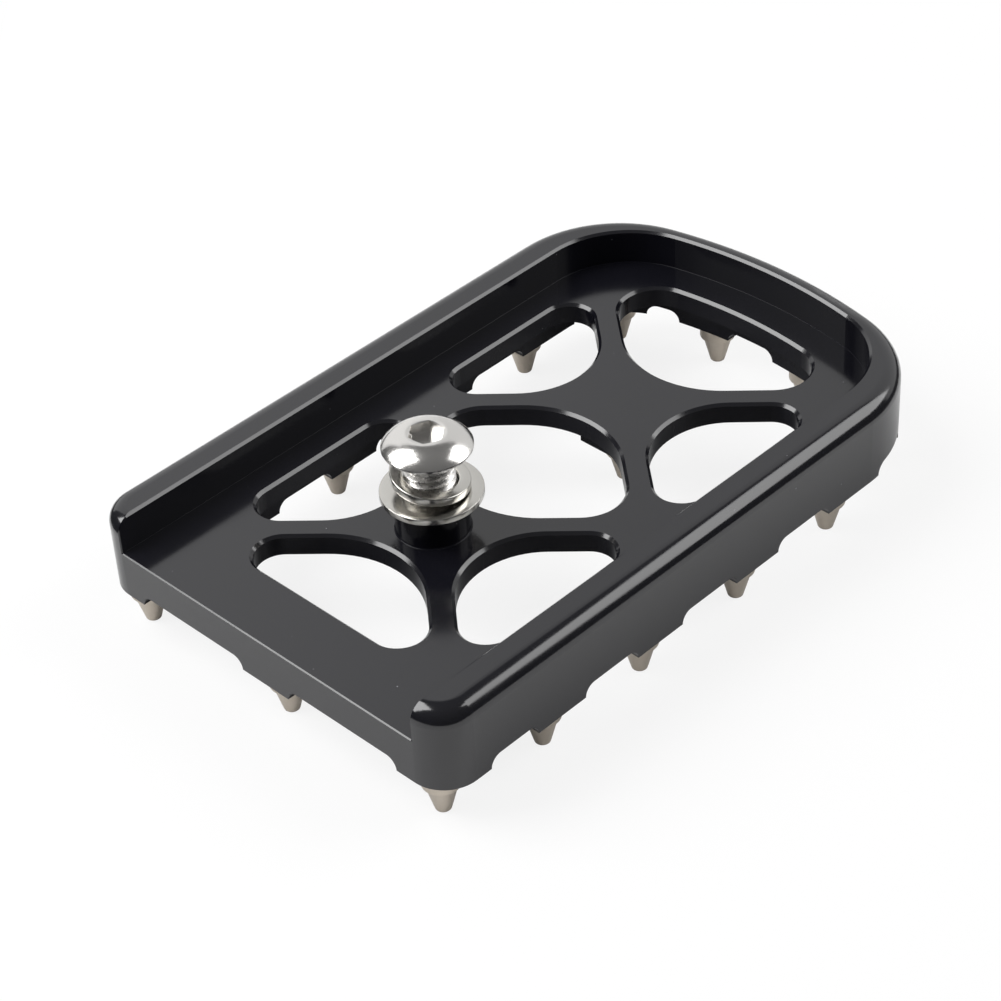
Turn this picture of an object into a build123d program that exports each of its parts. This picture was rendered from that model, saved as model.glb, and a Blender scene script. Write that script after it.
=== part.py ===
from build123d import *
import math
import os

# Brake pedal pad: a milled aluminium frame that drops over the pedal's own plate, with one
# button-head bolt, its two washers, and pointed steel studs underneath.
# X runs across the pad, Y from the open end (-Y) to the bowed far end (+Y), Z up.
# The origin is the middle of the plan, on the plane that the stud tips stand on.

# Plan of the frame, in millimetres
width = 74.0
length = 117.0
open_corner_radius = 6.1
far_corner_radius = 21.0
bow_radius = 91.0

# Heights, from the stud tips up
stud_length = 7.5
frame_depth = 8.0
rim_height = 6.2
web_thickness = 3.6
relief_depth = 1.9
land_level = stud_length
relief_level = land_level + relief_depth
floor_level = land_level + frame_depth
web_underside = floor_level - web_thickness
rim_top = floor_level + rim_height

# Rim and its broken edges
side_rim = 6.2
far_rim = 3.8
pocket_corner_radius = 16.0
outer_round = 2.9
foot_round = 0.1
rim_break = 0.4
window_break = 0.47
lip_break = 0.18
overrun = 10.0

# Solid border seen from below, around the hollow under the truss
side_border = 9.0
open_border = 9.0
far_border = 7.5
hollow_open_radius = 4.0
hollow_far_radius = 13.0

# Truss: two crossings on the centre line, and the walls of the windows between the arms
front_crossing = 35.2
far_crossing = 77.8
arm_angle = 48.5
arm_width = 4.1
side_window_wall = 25.9
open_window_wall = 11.3
far_window_inset = 9.55
middle_apex_radius = 16.2
side_apex_radius = 13.1
diamond_side_radius = 7.0
open_window_radius = 4.3
side_window_radius = 4.25
far_window_radius = 6.5

# Boss that carries the pedal's plate, and the bolt with its washers
boss_diameter = 11.4
boss_height = 6.1
boss_foot_round = 0.3
bolt_diameter = 7.9
tapped_diameter = 8.0
bolt_length = 16.0
bolt_point_break = 0.8
head_clearance = 15.0
head_diameter = 13.8
head_height = 2.6
head_band = 0.35
head_bulge = 0.42
head_land_diameter = 6.4
hex_across_flats = 5.0
hex_depth = 1.8
hex_turn = 6.0
flat_washer_diameter = 15.8
flat_washer_bore = 8.4
flat_washer_thickness = 1.2
flat_washer_break = 0.25
flat_washer_shift = (0.12, 0.12)
spring_washer_diameter = 12.2
spring_washer_section = (1.8, 1.4)
spring_washer_rise = 3.0
spring_washer_turn = 345.0
spring_washer_split = 85.0
spring_washer_tilt = 4.2
spring_washer_high_side = 200.0

# Studs, and the lands that they screw up into
collar_diameter = 6.0
collar_height = 2.6
cone_base_diameter = 5.0
tip_diameter = 2.4
tip_break = 0.3
collar_break = 0.2
shank_diameter = 4.0
shank_length = 4.0
shank_hole_diameter = 4.1
shank_hole_depth = 4.5
land_length = 9.8
land_reach = 40.0
side_stud_inset = 4.3
side_stud_rows = (23.5, 44.6, 66.7, 88.7)
last_land_extra = 2.8
open_stud_inset = 4.35
open_corner_stud = 31.5
open_corner_land = 27.2
far_stud_offset = 9.7
far_stud_from_open = 112.5
far_corner_stud_inset = 4.4
far_corner_angle = 48.5

half_width = width / 2
open_end = -length / 2
far_end = length / 2
bow_centre = (0, far_end - bow_radius)
corner_centre_x = half_width - far_corner_radius
corner_centre_y = bow_centre[1] + math.sqrt(
    (bow_radius - far_corner_radius) ** 2 - corner_centre_x ** 2
)


def from_open(distance):
    """Y of a place measured from the open end."""
    return open_end + distance


def bowed_plan(half, near_y, near_radius, bow, corner):
    """Plan with straight sides and a bowed far side about the common bow centre."""
    box = Pos(0, near_y + length) * Rectangle(2 * half, 2 * length)
    plan = box & Pos(*bow_centre) * Circle(bow)
    plan = fillet(plan.vertices().sort_by(Axis.Y)[-2:], corner)
    if near_radius > 0:
        plan = fillet(plan.vertices().sort_by(Axis.Y)[:2], near_radius)
    return plan


def opening_tool(plan, low, high, break_size, foot=0):
    """Cutter for an opening with its upper edge broken at 45 degrees and its foot rounded."""
    straight = extrude(Pos(0, 0, low) * plan, high - low)
    if foot > 0:
        straight = fillet(straight.faces().sort_by(Axis.Z)[0].edges(), foot)
    flare_plan = Pos(0, 0, high - break_size) * plan
    return straight + extrude(flare_plan, 2 * break_size, taper=-45)


def rounded_corner(sketch, corner, radius):
    """The sketch with the corner nearest to a point rounded."""
    return fillet(sketch.vertices().sort_by_distance(Vector(*corner))[0], radius)


def broken_corner(sketch, corner, size):
    """The sketch with the corner nearest to a point cut off at an even slant."""
    return chamfer(sketch.vertices().sort_by_distance(Vector(*corner))[0], size)


def rounded_polygon(corners, radii):
    """Straight-sided window with its own radius at each corner."""
    sketch = make_face(Polyline(*corners, close=True))
    for corner, radius in zip(corners, radii):
        sketch = rounded_corner(sketch, corner, radius)
    return sketch


def window_plans():
    """Plans of the seven windows between the arms of the two crossings."""
    lean = math.radians(arm_angle)
    slope = 1 / math.tan(lean)
    apex_y = arm_width / 2 / math.sin(lean)
    apex_x = arm_width / 2 / math.cos(lean)
    front = from_open(front_crossing)
    far = from_open(far_crossing)
    plans = []

    wall = from_open(open_window_wall)
    reach = (front - apex_y - wall) / slope
    corners = [(0, front - apex_y), (-reach, wall), (reach, wall)]
    plans.append(rounded_polygon(
        corners, (middle_apex_radius, open_window_radius, open_window_radius)))

    rise = (side_window_wall - apex_x) * slope
    for crossing in (front, far):
        for side in (-1, 1):
            wall = side * side_window_wall
            corners = [(side * apex_x, crossing), (wall, crossing - rise), (wall, crossing + rise)]
            plans.append(rounded_polygon(
                corners, (side_apex_radius, side_window_radius, side_window_radius)))

    middle = (front + far) / 2
    reach = (far - front - 2 * apex_y) / 2 / slope
    corners = [(0, front + apex_y), (reach, middle), (0, far - apex_y), (-reach, middle)]
    plans.append(rounded_polygon(
        corners,
        (middle_apex_radius, diamond_side_radius, middle_apex_radius, diamond_side_radius)))

    apex = (0, far + apex_y)
    fan = make_face(Polyline(
        apex, (length, apex[1] + length * slope), (-length, apex[1] + length * slope), close=True))
    fan = fan & Pos(*bow_centre) * Circle(bow_radius - far_window_inset)
    fan = fillet(fan.vertices().sort_by(Axis.Y)[-2:], far_window_radius)
    plans.append(rounded_corner(fan, apex, middle_apex_radius))
    return plans


def flared_bar(half):
    """Bar along Y whose section is a land: flat below, ends hollowed up to the relief."""
    flare = half + relief_depth
    diagonal = relief_depth * math.sqrt(0.5)
    knee_x = flare - diagonal
    top = relief_depth
    outline = [
        Line((-half, 0), (half, 0)),
        ThreePointArc((half, 0), (knee_x, diagonal), (flare, top)),
        Line((flare, top), (flare, top + 1)),
        Line((flare, top + 1), (-flare, top + 1)),
        Line((-flare, top + 1), (-flare, top)),
        ThreePointArc((-flare, top), (-knee_x, diagonal), (-half, 0)),
    ]
    section = Plane.XZ * make_face(outline)
    return Pos(0, 0, land_level) * extrude(section, land_reach / 2, both=True)


def land_blocks():
    """Blocks that stay at full depth around the rim, one for each stud there."""
    half = land_length / 2
    blocks = []
    for side in (-1, 1):
        for row in side_stud_rows:
            reach = last_land_extra if row == side_stud_rows[-1] else 0
            bar = Rot(0, 0, 90) * flared_bar(half + reach / 2)
            blocks.append(Pos(side * half_width, from_open(row) + reach / 2) * bar)
        across = Pos(side * half_width, open_end) * flared_bar(half_width - open_corner_land)
        along = Rot(0, 0, 90) * flared_bar(open_border)
        blocks.append(across & Pos(side * half_width, open_end) * along)
        swing = Rot(0, 0, -side * (90 - far_corner_angle)) * flared_bar(half)
        outward = math.radians(far_corner_angle)
        blocks.append(Pos(
            side * (corner_centre_x + far_corner_radius * math.cos(outward)),
            corner_centre_y + far_corner_radius * math.sin(outward)) * swing)
        blocks.append(Pos(side * far_stud_offset, far_end) * flared_bar(half))
    blocks.append(Pos(0, open_end) * flared_bar(half))
    return blocks


def stud_places():
    """Name and plan position of every stud."""
    outward = math.radians(far_corner_angle)
    reach = far_corner_radius - far_corner_stud_inset
    corner_x = corner_centre_x + reach * math.cos(outward)
    corner_y = corner_centre_y + reach * math.sin(outward)
    places = {
        "stud_open_middle": (0, from_open(open_stud_inset)),
        "stud_centre": (0, from_open(far_crossing)),
    }
    for side, word in ((-1, "left"), (1, "right")):
        places[f"stud_open_{word}"] = (side * open_corner_stud, from_open(open_stud_inset))
        for number, row in enumerate(side_stud_rows, 1):
            places[f"stud_{word}_{number}"] = (side * (half_width - side_stud_inset), from_open(row))
        places[f"stud_corner_{word}"] = (side * corner_x, corner_y)
        places[f"stud_far_{word}"] = (side * far_stud_offset, from_open(far_stud_from_open))
    return places


def pad_frame(studs):
    """Tray with a rim on three sides, a truss floor, a boss and stepped lands below."""
    outer = bowed_plan(half_width, open_end, open_corner_radius, bow_radius, far_corner_radius)
    frame = extrude(Pos(0, 0, land_level) * outer, rim_top - land_level)
    frame = fillet(frame.faces().sort_by(Axis.Z)[-1].edges(), outer_round)

    pocket = bowed_plan(
        half_width - side_rim, open_end - overrun, 0, bow_radius - far_rim, pocket_corner_radius)
    frame -= opening_tool(pocket, floor_level, rim_top, rim_break, foot_round)
    lip = frame.edges().filter_by(Axis.X).sort_by_distance(Vector(0, open_end, floor_level))[0]
    frame = chamfer(lip, lip_break)

    hollow = bowed_plan(
        half_width - side_border, from_open(open_border), hollow_open_radius,
        bow_radius - far_border, hollow_far_radius)
    pedestal = Pos(0, from_open(far_crossing)) * Rectangle(land_length, land_length)
    frame -= extrude(Pos(0, 0, land_level) * (hollow - pedestal), web_underside - land_level)

    relief = extrude(Pos(0, 0, land_level) * (outer - hollow), relief_depth)
    for block in land_blocks():
        relief -= block
    frame -= relief

    for plan in window_plans():
        frame -= opening_tool(plan, web_underside, floor_level, window_break)

    bolt_axis = Pos(0, from_open(front_crossing))
    boss_plan = bolt_axis * Circle(boss_diameter / 2)
    frame += extrude(Pos(0, 0, web_underside) * boss_plan, web_thickness + boss_height)
    foot = frame.edges().filter_by(GeomType.CIRCLE).filter_by_position(
        Axis.Z, floor_level, floor_level).sort_by_distance(Vector(*bolt_axis.position))[0]
    frame = fillet(foot, boss_foot_round)
    hole_plan = bolt_axis * Circle(tapped_diameter / 2)
    frame -= extrude(Pos(0, 0, land_level) * hole_plan, rim_top - land_level)
    for x, y in studs.values():
        drilled = Pos(x, y, land_level) * Circle(shank_hole_diameter / 2)
        frame -= extrude(drilled, shank_hole_depth)
    return frame


def stud():
    """Turned stud on the Z axis with its tip at Z = 0 and its shank up."""
    base = cone_base_diameter / 2
    tip = tip_diameter / 2
    shoulder = stud_length - collar_height
    corners = [
        (0, 0), (tip, 0), (base, shoulder), (collar_diameter / 2, shoulder),
        (collar_diameter / 2, stud_length), (shank_diameter / 2, stud_length),
        (shank_diameter / 2, stud_length + shank_length), (0, stud_length + shank_length),
    ]
    profile = make_face(Polyline(*corners, close=True))
    profile = broken_corner(profile, (tip, 0), tip_break)
    profile = broken_corner(profile, (collar_diameter / 2, shoulder), collar_break)
    return revolve(Plane.XZ * profile, Axis.Z)


def mounting_bolt():
    """Low button-head bolt with a hexagon socket, screwed part of the way into the boss."""
    underside = floor_level + head_clearance
    rim = head_diameter / 2
    land = head_land_diameter / 2
    shank = bolt_diameter / 2
    band = underside + head_band
    top = underside + head_height
    slope = math.atan2(rim - land, top - band)
    crown = (
        (rim + land) / 2 + head_bulge * math.cos(slope),
        (band + top) / 2 + head_bulge * math.sin(slope))
    tip = underside - bolt_length
    outline = [
        Polyline(
            (0, top), (0, tip), (shank - bolt_point_break, tip), (shank, tip + bolt_point_break),
            (shank, underside), (rim, underside), (rim, band)),
        ThreePointArc((rim, band), crown, (land, top)),
        Line((land, top), (0, top)),
    ]
    bolt = revolve(Plane.XZ * make_face(outline), Axis.Z)
    socket = RegularPolygon(hex_across_flats / 2, 6, major_radius=False, rotation=hex_turn)
    bolt -= extrude(Pos(0, 0, top - hex_depth) * socket, hex_depth)
    return Pos(0, from_open(front_crossing)) * bolt


def flat_washer():
    """Plain washer lying on the boss, a little off centre as it was left."""
    ring = Circle(flat_washer_diameter / 2) - Circle(flat_washer_bore / 2)
    washer = extrude(ring, flat_washer_thickness)
    washer = chamfer(washer.faces().sort_by(Axis.Z)[-1].outer_wire().edges(), flat_washer_break)
    shift_x, shift_y = flat_washer_shift
    seat = floor_level + boss_height
    return Pos(shift_x, from_open(front_crossing) + shift_y, seat) * washer


def spring_washer():
    """Split spring washer: a flat section wound into most of a left-hand turn."""
    section_width, section_height = spring_washer_section
    mean_radius = (spring_washer_diameter - section_width) / 2
    turns = spring_washer_turn / 360
    path = Helix(spring_washer_rise / turns, spring_washer_rise, mean_radius, lefthand=True)
    section = Pos(mean_radius, 0, 0) * (Plane.XZ * Rectangle(section_width, section_height))
    ring = sweep(section, path=path, is_frenet=True)
    ring = Rot(0, 0, spring_washer_split) * ring
    hinge = math.radians(spring_washer_high_side - 90)
    tilt_axis = Axis((0, 0, 0), (math.cos(hinge), math.sin(hinge), 0))
    ring = ring.rotate(tilt_axis, spring_washer_tilt)
    seat = floor_level + boss_height + flat_washer_thickness
    lift = seat - ring.bounding_box().min.Z
    return Pos(0, from_open(front_crossing), lift) * ring


os.makedirs("parts", exist_ok=True)
places = stud_places()
nodes = {
    "pad_frame": pad_frame(places),
    "mounting_bolt": mounting_bolt(),
    "spring_washer": spring_washer(),
    "flat_washer": flat_washer(),
}
for name, (x, y) in places.items():
    nodes[name] = Pos(x, y, 0) * stud()
for name, shape in nodes.items():
    export_step(shape, f"parts/{name}.step")
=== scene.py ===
import math

import bmesh
import bpy
import numpy as np
from mathutils import Matrix, Vector


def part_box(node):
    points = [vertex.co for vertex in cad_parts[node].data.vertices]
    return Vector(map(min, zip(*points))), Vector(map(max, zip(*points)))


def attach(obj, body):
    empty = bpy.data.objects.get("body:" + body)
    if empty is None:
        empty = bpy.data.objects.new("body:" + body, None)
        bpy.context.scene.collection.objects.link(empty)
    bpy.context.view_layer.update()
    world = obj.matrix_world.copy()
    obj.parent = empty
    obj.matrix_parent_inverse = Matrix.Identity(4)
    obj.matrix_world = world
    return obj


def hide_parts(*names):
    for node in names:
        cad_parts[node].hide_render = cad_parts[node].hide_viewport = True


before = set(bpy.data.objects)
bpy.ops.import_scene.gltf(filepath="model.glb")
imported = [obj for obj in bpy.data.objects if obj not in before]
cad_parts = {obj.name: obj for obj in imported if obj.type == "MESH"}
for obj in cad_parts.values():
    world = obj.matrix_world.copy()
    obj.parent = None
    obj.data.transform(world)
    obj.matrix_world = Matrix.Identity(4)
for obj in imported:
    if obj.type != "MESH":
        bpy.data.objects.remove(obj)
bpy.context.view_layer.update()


# Pad frame: one block of aluminium alloy, milled into a tray with a rim on three sides, a truss
# floor and stepped lands, polished and then black anodised. The exact solid keeps its own mesh.
MM = 0.001
pocket_half_width = 31.2
bow_centre_y = -32.5
pocket_reach = 88.4
open_face_y = -58.5
tray_floor = 15.5


def linear(hex_colour):
    """Linear RGBA of an sRGB hex colour."""
    channels = [int(hex_colour[i:i + 2], 16) / 255 for i in (1, 3, 5)]
    return [c / 12.92 if c <= 0.04045 else ((c + 0.055) / 1.055) ** 2.4 for c in channels] + [1]


def add_node(tree, kind, values=None, links=None, **settings):
    """Adds a node with its settings and input values, and links its inputs."""
    node = tree.nodes.new(kind)
    for name, value in settings.items():
        setattr(node, name, value)
    for socket, value in (values or {}).items():
        node.inputs[socket].default_value = value
    for socket, source in (links or {}).items():
        tree.links.new(source, node.inputs[socket])
    return node


def new_material(name):
    """An empty node material, its tree, and its Object coordinates."""
    material = bpy.data.materials.new(name)
    material.use_nodes = True
    tree = material.node_tree
    tree.nodes.clear()
    return material, tree, add_node(tree, "ShaderNodeTexCoord").outputs["Object"]


def finish_material(tree, values, links, bumps):
    """Ends a material in a Principled shader, over bumps given as height, strength and mm deep."""
    normal = {}
    for height, strength, depth in bumps:
        bump = add_node(
            tree, "ShaderNodeBump", {"Strength": strength, "Distance": depth * MM},
            {"Height": height, **normal})
        normal = {"Normal": bump.outputs["Normal"]}
    shader = add_node(tree, "ShaderNodeBsdfPrincipled", values, {**links, **normal})
    add_node(tree, "ShaderNodeOutputMaterial", links={"Surface": shader.outputs["BSDF"]})


# Black dyed oxide on polished aluminium: near-black under the clear gloss of a sealed oxide, so
# flat faces mirror what stands round them a little softly. The walls inside the rim and the
# rounded foot below them mirror light that was mirrored and polarised before, which leaves them
# darker; their low shine is that shade, painted in. Handling leaves a mottle and specks of dust.
oxide_ior = 1.62
oxide_colours = ("#101015", "#15151b")
smoothest_oxide = 0.12
dullest_oxide = 0.17
full_shine = 0.5
inner_shine = 0.07
steepest_floor = 0.7
flattest_wall = 0.5
wall_margin = 0.1
lip_start = 0.1
lip_end = 0.3
foot_start = 0.002
foot_full = 0.007
foot_height = 0.3
foot_margin = 0.05
mottle_size = 7
grain_size = 0.35
handled_start = 0.48
handled_full = 0.6
dust_colour = "#8c8c90"
dust_spacing = 3.4
dust_size = 0.13
dust_dulling = 0.4

anodised, tree, place = new_material("black_anodised_aluminium")
mottle = add_node(tree, "ShaderNodeTexNoise", {"Scale": 1 / (mottle_size * MM), "Detail": 4},
                  {"Vector": place}).outputs["Fac"]
grain = add_node(tree, "ShaderNodeTexNoise", {"Scale": 1 / (grain_size * MM), "Detail": 2},
                 {"Vector": place}).outputs["Fac"]
dust = add_node(tree, "ShaderNodeTexVoronoi", {"Scale": 1 / (dust_spacing * MM)},
                {"Vector": place})
spot = add_node(tree, "ShaderNodeSeparateXYZ", links={"Vector": place}).outputs
facing = add_node(tree, "ShaderNodeSeparateXYZ", links={
    "Vector": add_node(tree, "ShaderNodeTexCoord").outputs["Normal"]}).outputs
beside = add_node(tree, "ShaderNodeMath", links={0: spot["X"]}, operation="ABSOLUTE")
flatness = add_node(tree, "ShaderNodeMath", links={0: facing["Z"]}, operation="ABSOLUTE")
plan = add_node(tree, "ShaderNodeVectorMath", {1: (1, 1, 0)}, {0: place}, operation="MULTIPLY")
reach = add_node(tree, "ShaderNodeVectorMath", {1: (0, bow_centre_y * MM, 0)},
                 {0: plan.outputs["Vector"]}, operation="DISTANCE")

share = {}
for name, value, none_at, full_at in (
        ("dust_dot", dust.outputs["Distance"], dust_size / dust_spacing,
         dust_size / dust_spacing / 2),
        ("handled", mottle, handled_start, handled_full),
        ("above_floor", spot["Z"], (tray_floor + foot_start) * MM, (tray_floor + foot_full) * MM),
        ("at_foot", spot["Z"], (tray_floor + foot_height + foot_margin) * MM,
         (tray_floor + foot_height) * MM),
        ("upright", flatness.outputs["Value"], steepest_floor, flattest_wall),
        ("between_rails", beside.outputs["Value"], pocket_half_width * MM,
         (pocket_half_width - wall_margin) * MM),
        ("before_far_rim", reach.outputs["Value"], pocket_reach * MM,
         (pocket_reach - wall_margin) * MM),
        ("behind_lip", spot["Y"], (open_face_y + lip_start) * MM, (open_face_y + lip_end) * MM)):
    share[name] = add_node(tree, "ShaderNodeMapRange", {"From Min": none_at, "From Max": full_at},
                           {"Value": value}).outputs["Result"]
# Painted shade: mask of the pocket walls and the rounded foot below them, where the shine is
# lowered.
inner_wall = share["above_floor"]
for name, how in (
        ("at_foot", "MINIMUM"), ("upright", "MAXIMUM"), ("between_rails", "MULTIPLY"),
        ("before_far_rim", "MULTIPLY"), ("behind_lip", "MULTIPLY")):
    inner_wall = add_node(tree, "ShaderNodeMath", links={0: inner_wall, 1: share[name]},
                          operation=how).outputs["Value"]

speck = add_node(tree, "ShaderNodeMath", links={0: share["dust_dot"], 1: share["handled"]},
                 operation="MULTIPLY").outputs["Value"]
tint = add_node(tree, "ShaderNodeMix", {
    6: linear(oxide_colours[0]), 7: linear(oxide_colours[1])}, {0: mottle}, data_type="RGBA")
dusted = add_node(tree, "ShaderNodeMix", {7: linear(dust_colour)},
                  {0: speck, 6: tint.outputs[2]}, data_type="RGBA")
smoothness = add_node(tree, "ShaderNodeMapRange", {
    "From Min": 0.3, "From Max": 0.7, "To Min": smoothest_oxide, "To Max": dullest_oxide},
    {"Value": mottle})
roughness = add_node(tree, "ShaderNodeMath", {1: dust_dulling}, {
    0: speck, 2: smoothness.outputs["Result"]}, operation="MULTIPLY_ADD")
# Painted shade: the shine drops from full to inner_shine over the masked pocket walls.
shine = add_node(tree, "ShaderNodeMapRange", {"To Min": full_shine, "To Max": inner_shine},
                 {"Value": inner_wall})
finish_material(
    tree, {"IOR": oxide_ior},
    {"Base Color": dusted.outputs[2], "Roughness": roughness.outputs["Value"],
     "Specular IOR Level": shine.outputs["Result"]},
    [(mottle, 0.06, 0.05), (grain, 0.05, 0.004)])

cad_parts["pad_frame"].material_slots[0].material = anodised


# Washers: a plain one blanked from steel sheet, with the punch's rolled edge on top, and over it
# a spring washer coiled from flat wire and cut through, free and so still open.
bolt_centre = (0, -23.3)
boss_top = 21.6
washer_centre = (0.12, -23.18)
washer_radius = 7.9
washer_bore_radius = 4.2
washer_thickness = 1.2
washer_top_edge = 0.35
washer_lower_edge = 0.08
spring_radius = 6.1
spring_width = 1.8
spring_height = 1.4
spring_edge = 0.16
spring_rise = 3.0
spring_turns = 345 / 360
spring_split = math.radians(85)
spring_tilt = math.radians(4.2)
spring_hinge = math.radians(110)
sharp_angle = math.radians(28)


def new_tree(name, inputs):
    """A geometry tree with named inputs; returns it with its input node's outputs."""
    tree = bpy.data.node_groups.new(name, "GeometryNodeTree")
    tree.interface.new_socket(name="Geometry", in_out="INPUT", socket_type="NodeSocketGeometry")
    for socket, kind in inputs.items():
        tree.interface.new_socket(name=socket, in_out="INPUT", socket_type=kind)
    tree.interface.new_socket(name="Geometry", in_out="OUTPUT", socket_type="NodeSocketGeometry")
    return tree, tree.nodes.new("NodeGroupInput").outputs


def end_tree(tree, geometry, material):
    """Ends a tree in real geometry with its material set."""
    real = add_node(tree, "GeometryNodeRealizeInstances", links={"Geometry": geometry})
    dressed = add_node(tree, "GeometryNodeSetMaterial", links={
        "Geometry": real.outputs["Geometry"], "Material": material})
    add_node(tree, "NodeGroupOutput", links={"Geometry": dressed.outputs["Geometry"]})


def grown_mesh(name, tree, values, points=((0, 0, 0),)):
    """Plain mesh that a tree grows from a few points, with the values given to its inputs."""
    seed = bpy.data.meshes.new(name + "_seed")
    seed.from_pydata([Vector(p) * MM for p in points], [], [])
    holder = bpy.data.objects.new(name + "_seed", seed)
    bpy.context.scene.collection.objects.link(holder)
    modifier = holder.modifiers.new("grow", "NODES")
    modifier.node_group = tree
    for item in tree.interface.items_tree:
        if item.in_out == "INPUT" and item.name in values:
            modifier[item.identifier] = values[item.name]
    grown = holder.evaluated_get(bpy.context.evaluated_depsgraph_get())
    mesh = bpy.data.meshes.new_from_object(grown)
    holder.modifiers.remove(modifier)
    bpy.data.objects.remove(holder)
    mesh.name = name
    return mesh


def place_piece(name, mesh, slot, *nodes):
    """Puts a finished mesh on the root body, in place of the nodes that it stands for."""
    mesh.shade_smooth()
    mesh.set_sharp_from_angle(angle=sharp_angle)
    piece = bpy.data.objects.new(name, mesh)
    bpy.context.scene.collection.objects.link(piece)
    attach(piece, "root")
    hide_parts(*nodes)


def washer_tree(name, closed):
    """Section with rounded edges carried once round a circle, or up a coil."""
    length = "NodeSocketFloat"
    tree, given = new_tree(name, {
        "Mean Radius": length, "Section Width": length, "Section Height": length,
        "Top Edge": length, "Lower Edge": length, "Turns": length, "Rise": length,
        "Turn": "NodeSocketVector", "Tilt": "NodeSocketVector", "Seat": "NodeSocketVector",
        "Finish": "NodeSocketMaterial"})
    if closed:
        path = add_node(tree, "GeometryNodeCurvePrimitiveCircle", {"Resolution": 128},
                        {"Radius": given["Mean Radius"]})
    else:
        path = add_node(tree, "GeometryNodeCurveSpiral", {"Resolution": 128}, {
            "Rotations": given["Turns"], "Start Radius": given["Mean Radius"],
            "End Radius": given["Mean Radius"], "Height": given["Rise"]})
    upright = add_node(tree, "GeometryNodeSetCurveNormal", {}, {"Curve": path.outputs["Curve"]},
                       mode="Z_UP")
    section = add_node(tree, "GeometryNodeCurvePrimitiveQuadrilateral", links={
        "Width": given["Section Width"], "Height": given["Section Height"]})
    corner = add_node(tree, "ShaderNodeSeparateXYZ", links={
        "Vector": add_node(tree, "GeometryNodeInputPosition").outputs["Position"]})
    is_top = add_node(tree, "ShaderNodeMath", {1: 0.0}, {0: corner.outputs["Y"]},
                      operation="GREATER_THAN")
    edge = add_node(tree, "GeometryNodeSwitch", input_type="FLOAT", links={
        "Switch": is_top.outputs["Value"], "False": given["Lower Edge"],
        "True": given["Top Edge"]})
    rounded = add_node(tree, "GeometryNodeFilletCurve", {"Count": 5, "Limit Radius": True}, {
        "Curve": section.outputs["Curve"], "Radius": edge.outputs["Output"]}, mode="POLY")
    body = add_node(tree, "GeometryNodeCurveToMesh", {"Fill Caps": True}, {
        "Curve": upright.outputs["Curve"], "Profile Curve": rounded.outputs["Curve"]})
    turned_round = add_node(tree, "GeometryNodeTransform", links={
        "Geometry": body.outputs["Mesh"], "Rotation": given["Turn"]})
    seated = add_node(tree, "GeometryNodeTransform", links={
        "Geometry": turned_round.outputs["Geometry"], "Rotation": given["Tilt"],
        "Translation": given["Seat"]})
    end_tree(tree, seated.outputs["Geometry"], given["Finish"])
    return tree


# Bright zinc plated on steel: light grey, satin from the plating, with handling scratches.
zinc_colour = "#cbc9c4"
scratch_width = 0.15
scratch_length = 2.1
cloud_size = 1.2
smoothest_zinc = 0.14
dullest_zinc = 0.26

zinc, tree, place = new_material("bright_zinc_plated_steel")
drawn_out = add_node(tree, "ShaderNodeMapping", {"Scale": [
    1 / (scratch_width * MM), 1 / (scratch_length * MM), 1 / (scratch_length * MM)]},
    {"Vector": place})
scratches = add_node(tree, "ShaderNodeTexNoise", {"Scale": 1.0, "Detail": 3},
                     {"Vector": drawn_out.outputs["Vector"]}).outputs["Fac"]
cloud = add_node(tree, "ShaderNodeTexNoise", {"Scale": 1 / (cloud_size * MM), "Detail": 4},
                 {"Vector": place}).outputs["Fac"]
roughness = add_node(tree, "ShaderNodeMapRange", {
    "From Min": 0.3, "From Max": 0.7, "To Min": smoothest_zinc, "To Max": dullest_zinc},
    {"Value": cloud})
finish_material(
    tree, {"Metallic": 1, "Base Color": linear(zinc_colour)},
    {"Roughness": roughness.outputs["Result"]},
    [(scratches, 0.3, 0.006), (cloud, 0.2, 0.02)])

plain_mesh = grown_mesh("flat_washer", washer_tree("flat_washer", closed=True), {
    "Mean Radius": (washer_radius + washer_bore_radius) / 2 * MM,
    "Section Width": (washer_radius - washer_bore_radius) * MM,
    "Section Height": washer_thickness * MM,
    "Top Edge": washer_top_edge * MM, "Lower Edge": washer_lower_edge * MM,
    "Seat": Vector((*washer_centre, boss_top + washer_thickness / 2)) * MM,
    "Finish": zinc})
place_piece("plain_washer", plain_mesh, "bright_fastener", "flat_washer")

hinge_axis = Vector((math.cos(spring_hinge), math.sin(spring_hinge), 0))
coil_mesh = grown_mesh("spring_washer", washer_tree("spring_washer", closed=False), {
    "Mean Radius": (spring_radius - spring_width / 2) * MM,
    "Section Width": spring_width * MM, "Section Height": spring_height * MM,
    "Top Edge": spring_edge * MM, "Lower Edge": spring_edge * MM,
    "Turns": spring_turns, "Rise": spring_rise * MM, "Turn": (0, 0, spring_split),
    "Tilt": Matrix.Rotation(spring_tilt, 3, hinge_axis).to_euler(),
    "Seat": Vector((*bolt_centre, boss_top + washer_thickness)) * MM,
    "Finish": zinc})
drop = min(v.co.z for v in coil_mesh.vertices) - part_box("spring_washer")[0][2]
coil_mesh.transform(Matrix.Translation((0, 0, -drop)))
place_piece("split_washer", coil_mesh, "bright_fastener", "spring_washer")


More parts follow.
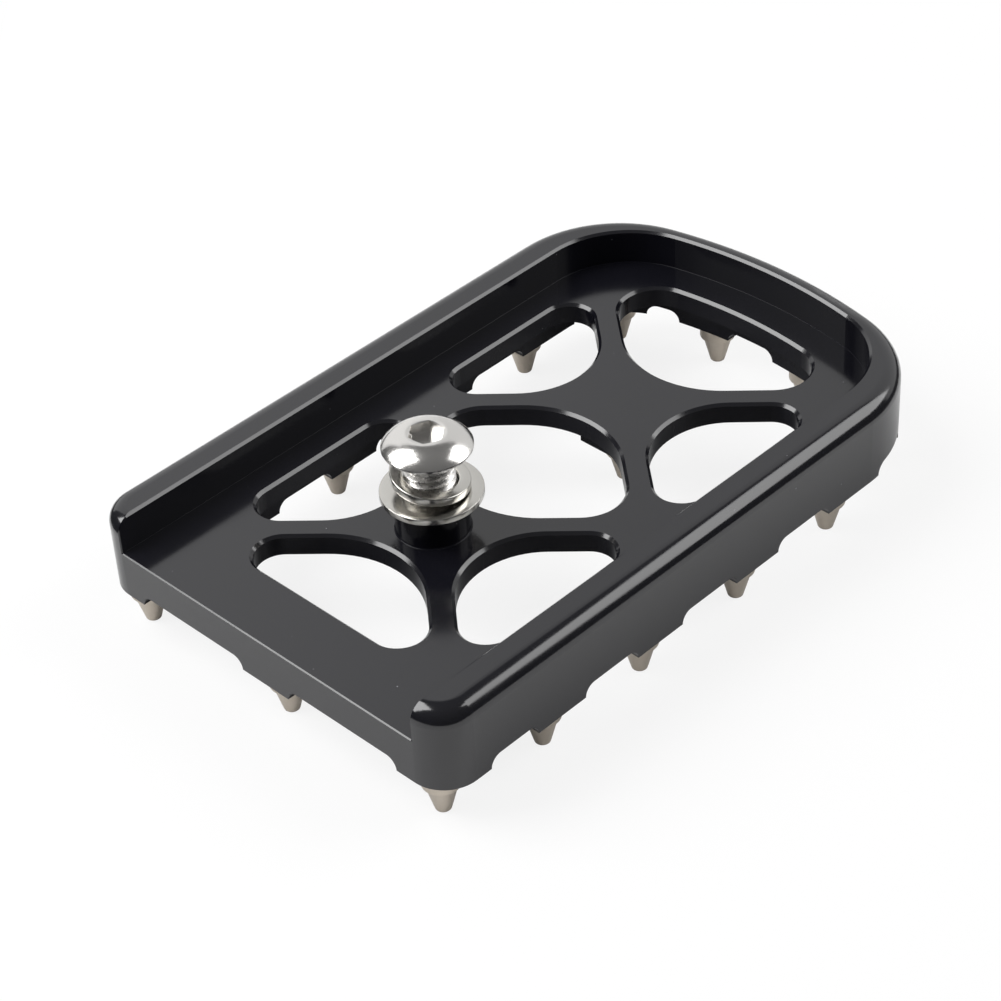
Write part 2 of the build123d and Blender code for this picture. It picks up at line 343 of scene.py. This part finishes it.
# Mounting bolt: a low button-head screw with a hexagon socket and a coarse right-hand thread,
# cold forged and rolled in stainless steel. It goes through both washers and stands half
# screwed into the boss.
bolt_length = 16.0
head_underside = 30.5
head_radius = 6.9
head_height = 2.6
head_band = 0.45
head_bulge = 0.42
head_land_radius = 3.2
head_edge = 0.12
socket_apothem = 2.5
socket_depth = 1.8
socket_turn = math.radians(6)
socket_floor_share = 0.98
socket_foot = 0.03
socket_break_radius = 2.95
socket_break_slope = 0.3
drill_radius = 2.1
drill_depth = 0.5
neck_fillet = 0.35
neck_hollow = 0.1
thread_start = 0.45
thread_radius = 3.95
thread_root_radius = 3.3
thread_pitch = 1.25
thread_run_out = 1.0
flank_foot = 0.375
flank_width = 0.31
point_break = 0.8
weld_distance = 0.0001

columns = 96
angles = socket_turn + np.arange(columns) * 2 * math.pi / columns
head_top = head_underside + head_height
point = head_underside - bolt_length


def ring(radius, height):
    """One turn of points on the bolt's axis, of a radius and height that may vary round it."""
    radius = np.broadcast_to(radius, columns)
    height = np.broadcast_to(height, columns)
    return np.column_stack([
        bolt_centre[0] + radius * np.cos(angles), bolt_centre[1] + radius * np.sin(angles), height])


def socket_rings():
    """Drilled bottom, six walls and the broken edge of the hexagon socket."""
    from_flat = (angles - socket_turn) % (math.pi / 3) - math.pi / 6
    hexagon = socket_apothem / np.cos(from_flat)
    bottom = head_top - socket_depth
    broken = head_top - socket_break_slope * (socket_break_radius - hexagon)
    return [
        ring(0, bottom - drill_depth), ring(drill_radius, bottom),
        ring(hexagon * socket_floor_share, bottom), ring(hexagon, bottom + socket_foot),
        ring(hexagon, broken), ring(socket_break_radius, head_top)]


def head_rings(dome_steps=20, edge_steps=4):
    """Flat land, domed top, straight band and rounded lower edge of the head."""
    start = np.array([head_land_radius, head_top])
    end = np.array([head_radius, head_underside + head_band])
    chord = end - start
    half = np.linalg.norm(chord) / 2
    out = np.array([-chord[1], chord[0]]) / (2 * half)
    dome_radius = (half ** 2 + head_bulge ** 2) / (2 * head_bulge)
    rings = []
    for step in range(dome_steps + 1):
        along = (2 * step / dome_steps - 1) * half
        lift = math.sqrt(dome_radius ** 2 - along ** 2) - dome_radius + head_bulge
        radius, height = start + chord * step / dome_steps + out * lift
        rings.append(ring(radius, height))
    for turn in np.linspace(0, math.pi / 2, edge_steps):
        rings.append(ring(head_radius - head_edge * (1 - math.cos(turn)),
                          head_underside + head_edge * (1 - math.sin(turn))))
    return rings


def thread_rings(rows_per_pitch=32):
    """Neck below the head, then the rolled thread as a helix down to the point."""
    neck = [ring(thread_radius + neck_fillet, head_underside),
            ring(thread_radius + neck_hollow, head_underside - neck_hollow),
            ring(thread_radius, head_underside - neck_fillet)]
    rows = []
    for height in np.arange(
            head_underside - thread_start, point, -thread_pitch / rows_per_pitch):
        phase = (height / thread_pitch - (angles - socket_turn) / (2 * math.pi)) % 1
        crest = np.clip((flank_foot - abs(phase - 0.5)) / flank_width, 0, 1)
        depth = (thread_radius - thread_root_radius) * min(
            (head_underside - height) / thread_run_out, 1)
        radius = thread_radius - depth * (1 - crest)
        rows.append(ring(np.minimum(radius, thread_radius - point_break + height - point), height))
    return neck + rows + [ring(thread_radius - point_break, point), ring(0, point)]


def mesh_of_rings(name, rings):
    """Closed mesh through rings of points, the first and last of which close on the axis."""
    shape = bmesh.new()
    rows = [[shape.verts.new(Vector(p) * MM) for p in points] for points in rings]
    for upper, lower in zip(rows, rows[1:]):
        for i in range(columns):
            j = (i + 1) % columns
            shape.faces.new((upper[i], lower[i], lower[j], upper[j]))
    bmesh.ops.remove_doubles(shape, verts=rows[0] + rows[-1], dist=weld_distance * MM)
    bmesh.ops.recalc_face_normals(shape, faces=shape.faces)
    mesh = bpy.data.meshes.new(name)
    shape.to_mesh(mesh)
    shape.free()
    return mesh


# Tumbled stainless steel: bright and neutral, its mirror softened by fine dings from the drum
# and by faint rings from the header's die. The thread below the head stays duller.
bolt_colour = "#dddbd8"
ring_spacing = 0.12
ding_size = 0.3
smoothest_head = 0.15
dullest_head = 0.22
thread_dulling = 0.1

polished, tree, place = new_material("polished_stainless_steel")
from_axis = add_node(tree, "ShaderNodeMapping", {
    "Location": [-bolt_centre[0] * MM, -bolt_centre[1] * MM, 0]}, {"Vector": place})
spot = add_node(tree, "ShaderNodeSeparateXYZ", links={
    "Vector": from_axis.outputs["Vector"]}).outputs
plan = add_node(tree, "ShaderNodeCombineXYZ", links={"X": spot["X"], "Y": spot["Y"]})
radius = add_node(tree, "ShaderNodeVectorMath", links={0: plan.outputs["Vector"]},
                  operation="LENGTH")
along_form = add_node(tree, "ShaderNodeMath", links={0: radius.outputs["Value"], 1: spot["Z"]},
                      operation="ADD")
line = add_node(tree, "ShaderNodeCombineXYZ", links={"X": along_form.outputs["Value"]})
die_rings = add_node(tree, "ShaderNodeTexNoise", {
    "Scale": 1 / (ring_spacing * MM), "Detail": 3}, {"Vector": line.outputs["Vector"]})
dings = add_node(tree, "ShaderNodeTexNoise", {"Scale": 1 / (ding_size * MM), "Detail": 4},
                 {"Vector": place})
below_head = add_node(tree, "ShaderNodeMapRange", {
    "From Min": (head_underside + 0.05) * MM, "From Max": (head_underside - 0.05) * MM,
    "To Max": thread_dulling}, {"Value": spot["Z"]})
softness = add_node(tree, "ShaderNodeMapRange", {
    "From Min": 0.35, "From Max": 0.65, "To Min": smoothest_head, "To Max": dullest_head},
    {"Value": dings.outputs["Fac"]})
roughness = add_node(tree, "ShaderNodeMath", links={
    0: softness.outputs["Result"], 1: below_head.outputs["Result"]}, operation="ADD")
finish_material(
    tree, {"Metallic": 1, "Base Color": linear(bolt_colour)},
    {"Roughness": roughness.outputs["Value"]},
    [(die_rings.outputs["Fac"], 0.2, 0.004), (dings.outputs["Fac"], 0.3, 0.012)])

bolt_mesh = mesh_of_rings("button_head_bolt", socket_rings() + head_rings() + thread_rings())
bolt_mesh.materials.append(polished)
place_piece("button_head_bolt", bolt_mesh, "bright_fastener", "mounting_bolt")


# Studs: sixteen equal turned steel points, each with a collar that lands on the frame and a
# threaded shank screwed into it from below. They grip the sole of the boot.
stud_length = 7.5
tip_radius = 1.2
cone_radius = 2.5
collar_radius = 3.0
collar_height = 2.6
shank_radius = 2.0
shank_length = 4.0
stud_edge = 0.3
stud_columns = 56
pole_radius = 0.001
pole_weld = 0.01


def stud_tree():
    """A stud lathed from its profile and set at every point."""
    length = "NodeSocketFloat"
    tree, given = new_tree("turned_stud", {
        "Length": length, "Tip Radius": length, "Cone Radius": length, "Collar Radius": length,
        "Collar Height": length, "Shank Radius": length, "Shank Length": length,
        "Edge": length, "Columns": "NodeSocketInt", "Finish": "NodeSocketMaterial"})
    shoulder = add_node(tree, "ShaderNodeMath", operation="SUBTRACT", links={
        0: given["Length"], 1: given["Collar Height"]}).outputs["Value"]
    shank_end = add_node(tree, "ShaderNodeMath", operation="ADD", links={
        0: given["Length"], 1: given["Shank Length"]}).outputs["Value"]
    corners = [
        ("Shank Radius", shank_end), ("Shank Radius", given["Length"]),
        ("Collar Radius", given["Length"]), ("Collar Radius", shoulder),
        ("Cone Radius", shoulder), ("Tip Radius", None), (None, None)]
    pick = add_node(tree, "GeometryNodeIndexSwitch", data_type="VECTOR")
    while len(pick.index_switch_items) < len(corners):
        pick.index_switch_items.new()
    tree.links.new(add_node(tree, "GeometryNodeInputIndex").outputs["Index"], pick.inputs["Index"])
    for number, (radius_name, height) in enumerate(corners):
        links = {"X": given[radius_name]} if radius_name else {}
        if height:
            links["Z"] = height
        corner = add_node(tree, "ShaderNodeCombineXYZ", links=links)
        tree.links.new(corner.outputs["Vector"], pick.inputs[str(number)])
    line = add_node(tree, "GeometryNodeMeshLine", {"Count": len(corners)})
    outline = add_node(tree, "GeometryNodeSetPosition", links={
        "Geometry": line.outputs["Mesh"], "Position": pick.outputs["Output"]})
    curve = add_node(tree, "GeometryNodeMeshToCurve", links={"Mesh": outline.outputs["Geometry"]})
    rounded = add_node(tree, "GeometryNodeFilletCurve", {"Count": 4, "Limit Radius": True}, {
        "Curve": curve.outputs["Curve"], "Radius": given["Edge"]}, mode="POLY")
    parts = add_node(tree, "ShaderNodeSeparateXYZ", links={
        "Vector": add_node(tree, "GeometryNodeInputPosition").outputs["Position"]})
    width = add_node(tree, "ShaderNodeMath", {1: pole_radius * MM}, {0: parts.outputs["X"]},
                     operation="MAXIMUM")
    sized = add_node(tree, "GeometryNodeSetCurveRadius", links={
        "Curve": rounded.outputs["Curve"], "Radius": width.outputs["Value"]})
    axis = add_node(tree, "ShaderNodeCombineXYZ", links={"Z": parts.outputs["Z"]})
    spine = add_node(tree, "GeometryNodeSetPosition", links={
        "Geometry": sized.outputs["Curve"], "Position": axis.outputs["Vector"]})
    circle = add_node(tree, "GeometryNodeCurvePrimitiveCircle", {"Radius": 1.0},
                      {"Resolution": given["Columns"]})
    lathed = add_node(tree, "GeometryNodeCurveToMesh", {"Fill Caps": True}, {
        "Curve": spine.outputs["Geometry"], "Profile Curve": circle.outputs["Curve"],
        "Scale": add_node(tree, "GeometryNodeInputRadius").outputs["Radius"]})
    closed = add_node(tree, "GeometryNodeMergeByDistance", {"Distance": pole_weld * MM},
                      {"Geometry": lathed.outputs["Mesh"]})
    set_all = add_node(tree, "GeometryNodeInstanceOnPoints", links={
        "Points": given["Geometry"], "Instance": closed.outputs["Geometry"]})
    end_tree(tree, set_all.outputs["Instances"], given["Finish"])
    return tree


# Turned steel without a coating: warm grey and satin. The tool's rings round every stud are
# drawn at a coarse feed, so that they show.
steel_colours = ("#b0a79b", "#c4bbaf")
feed = 0.16
patch_size = 1.5
smoothest_steel = 0.34
dullest_steel = 0.44

turned, tree, place = new_material("turned_steel")
height_up = add_node(tree, "ShaderNodeSeparateXYZ", links={"Vector": place}).outputs["Z"]
line = add_node(tree, "ShaderNodeCombineXYZ", links={"X": height_up})
tool_marks = add_node(tree, "ShaderNodeTexNoise", {"Scale": 1 / (feed * MM), "Detail": 2},
                      {"Vector": line.outputs["Vector"]}).outputs["Fac"]
patches = add_node(tree, "ShaderNodeTexNoise", {"Scale": 1 / (patch_size * MM), "Detail": 4},
                   {"Vector": place}).outputs["Fac"]
steel_tint = add_node(tree, "ShaderNodeMix", {
    6: linear(steel_colours[0]), 7: linear(steel_colours[1])}, {0: patches}, data_type="RGBA")
roughness = add_node(tree, "ShaderNodeMapRange", {
    "From Min": 0.3, "From Max": 0.7, "To Min": smoothest_steel, "To Max": dullest_steel},
    {"Value": patches})
finish_material(
    tree, {"Metallic": 1},
    {"Base Color": steel_tint.outputs[2], "Roughness": roughness.outputs["Result"]},
    [(tool_marks, 0.7, 0.012), (patches, 0.15, 0.02)])

stud_names = [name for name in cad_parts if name.startswith("stud_")]
stud_places = []
for name in stud_names:
    low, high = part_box(name)
    stud_places.append([(low[i] + high[i]) / 2 / MM for i in (0, 1)] + [0])
stud_mesh = grown_mesh("studs", stud_tree(), {
    "Length": stud_length * MM, "Tip Radius": tip_radius * MM, "Cone Radius": cone_radius * MM,
    "Collar Radius": collar_radius * MM, "Collar Height": collar_height * MM,
    "Shank Radius": shank_radius * MM, "Shank Length": shank_length * MM,
    "Edge": stud_edge * MM, "Columns": stud_columns, "Finish": turned}, stud_places)
place_piece("studs", stud_mesh, "stud_steel", *stud_names)


# Studio: a sheet of white paper under the pad, a wall of it behind, a soft box on each side of
# the camera's line of sight, and a dim room around. Sizes are in metres.
camera_azimuth = math.radians(45.98)
camera_elevation = math.radians(38.21)
camera_roll = math.radians(-3.39)
camera_aim = Vector((3.42, -12.33, 15.5)) * MM
camera_distance = 410.75 * MM
focal_length = 97.34
film_width = 36
nearest_seen = 0.01
paper_half_width = 0.105
paper_near = 0.135
wall_distance = 0.6
wall_left = 0.72
wall_right = 2.2
wall_height = 0.93
# Painted shade: in gloss the wall's white falls off to this strength at its right, standing in for
# light falling off across it.
painted_shade_wall_right_strength = 0.78
painted_shade_start = -0.14
painted_shade_end = 0.06
lamp_distance = 0.9
room_level = 0.08
room_top = 0.2

away = Vector((-math.sin(camera_azimuth), math.cos(camera_azimuth), 0))
level_right = Vector((math.cos(camera_azimuth), math.sin(camera_azimuth), 0))


def paper(name, shade, eye_share, gloss_share, shaded_right_strength=1.0):
    """Lit white paper that is plain white in part to the eye and in gloss, its gloss white falling
    off at its right as painted shade.
    """
    material, tree, place = new_material(name)
    lit = add_node(tree, "ShaderNodeBsdfDiffuse", {"Color": linear(shade)})
    ray = add_node(tree, "ShaderNodeLightPath")
    to_right = add_node(tree, "ShaderNodeVectorMath", {1: level_right}, {0: place},
                        operation="DOT_PRODUCT")
    # Painted shade: the glow falls off towards the right between these two distances.
    painted_shade_falloff = add_node(tree, "ShaderNodeMapRange", {
        "From Min": painted_shade_start, "From Max": painted_shade_end, "To Min": 1.0, "To Max": shaded_right_strength},
        {"Value": to_right.outputs["Value"]})
    strength = add_node(tree, "ShaderNodeMath", operation="MAXIMUM", links={
        0: painted_shade_falloff.outputs["Result"], 1: ray.outputs["Is Camera Ray"]})
    white = add_node(tree, "ShaderNodeEmission", {"Color": [1, 1, 1, 1]},
                     {"Strength": strength.outputs["Value"]})
    eye = add_node(tree, "ShaderNodeMath", {1: eye_share}, {0: ray.outputs["Is Camera Ray"]},
                   operation="MULTIPLY")
    mirrored = add_node(tree, "ShaderNodeMath", operation="MAXIMUM", links={
        0: ray.outputs["Is Glossy Ray"], 1: ray.outputs["Is Transmission Ray"]})
    gloss = add_node(tree, "ShaderNodeMath", {1: gloss_share}, {0: mirrored.outputs["Value"]},
                     operation="MULTIPLY")
    white_share = add_node(tree, "ShaderNodeMath", operation="MAXIMUM", links={
        0: eye.outputs["Value"], 1: gloss.outputs["Value"]})
    mix = add_node(tree, "ShaderNodeMixShader", links={
        "Fac": white_share.outputs["Value"], 1: lit.outputs["BSDF"],
        2: white.outputs["Emission"]})
    add_node(tree, "ShaderNodeOutputMaterial", links={"Surface": mix.outputs["Shader"]})
    return material


def sheet(name, corners, material):
    """Flat sheet of the studio."""
    mesh = bpy.data.meshes.new(name)
    mesh.from_pydata(corners, [], [(0, 1, 2, 3)])
    mesh.materials.append(material)
    piece = bpy.data.objects.new(name, mesh)
    bpy.context.scene.collection.objects.link(piece)


front_edge = away * -paper_near
wall_foot = away * wall_distance
half_sheet = level_right * paper_half_width
sheet("paper_floor",
      [front_edge - half_sheet, front_edge + half_sheet, wall_foot + half_sheet,
       wall_foot - half_sheet],
      paper("white_floor_paper", "#f0f0f0", 0.85, 0.1))
wall_start = wall_foot - level_right * wall_left
wall_end = wall_foot + level_right * wall_right
wall_rise = Vector((0, 0, wall_height))
sheet("paper_wall",
      [wall_start, wall_end, wall_end + wall_rise, wall_start + wall_rise],
      paper("white_wall_paper", "#dcdcdc", 1.0, 1.0, painted_shade_wall_right_strength))


def soft_box(name, azimuth, elevation, radiance, width, height):
    """Rectangular soft light that faces the pad, of a width and height in degrees."""
    azimuth = math.radians(azimuth)
    elevation = math.radians(elevation)
    direction = Vector((math.cos(azimuth) * math.cos(elevation),
                        math.sin(azimuth) * math.cos(elevation), math.sin(elevation)))
    lamp = bpy.data.lights.new(name, "AREA")
    lamp.shape = "RECTANGLE"
    lamp.size = 2 * lamp_distance * math.tan(math.radians(width / 2))
    lamp.size_y = 2 * lamp_distance * math.tan(math.radians(height / 2))
    lamp.energy = radiance * math.pi * lamp.size * lamp.size_y
    light = bpy.data.objects.new(name, lamp)
    light.location = direction * lamp_distance
    light.rotation_euler = direction.to_track_quat("Z", "Y").to_euler()
    bpy.context.scene.collection.objects.link(light)


soft_box("soft_box_right", azimuth=53, elevation=37.5, radiance=3.8, width=34.5, height=37)
soft_box("soft_box_left", azimuth=-134, elevation=47.5, radiance=6.8, width=35, height=46)

world = bpy.data.worlds.new("dim_room")
world.use_nodes = True
tree = world.node_tree
tree.nodes.clear()
upwards = add_node(tree, "ShaderNodeSeparateXYZ", links={
    "Vector": add_node(tree, "ShaderNodeTexCoord").outputs["Generated"]}).outputs["Z"]
room = add_node(tree, "ShaderNodeMapRange", {"To Min": room_level, "To Max": room_top},
                {"Value": upwards})
ray = add_node(tree, "ShaderNodeLightPath")
shown = add_node(tree, "ShaderNodeMix", {3: 1.0}, {
    0: ray.outputs["Is Camera Ray"], 2: room.outputs["Result"]}, data_type="FLOAT")
sky = add_node(tree, "ShaderNodeBackground", {"Color": [1, 1, 1, 1]},
               {"Strength": shown.outputs[0]})
add_node(tree, "ShaderNodeOutputWorld", links={"Surface": sky.outputs["Background"]})
bpy.context.scene.world = world
bpy.context.scene.view_settings.view_transform = "Standard"

forward = away * math.cos(camera_elevation) - Vector((0, 0, math.sin(camera_elevation)))
level_up = level_right.cross(forward)
picture_right = level_right * math.cos(camera_roll) + level_up * math.sin(camera_roll)
picture_up = level_up * math.cos(camera_roll) - level_right * math.sin(camera_roll)
lens = bpy.data.cameras.new("camera")
lens.lens = focal_length
lens.sensor_width = film_width
lens.clip_start = nearest_seen
camera = bpy.data.objects.new("camera", lens)
camera.matrix_world = (
    Matrix.Translation(camera_aim - forward * camera_distance)
    @ Matrix((picture_right, picture_up, -forward)).transposed().to_4x4())
bpy.context.scene.collection.objects.link(camera)
bpy.context.scene.camera = camera
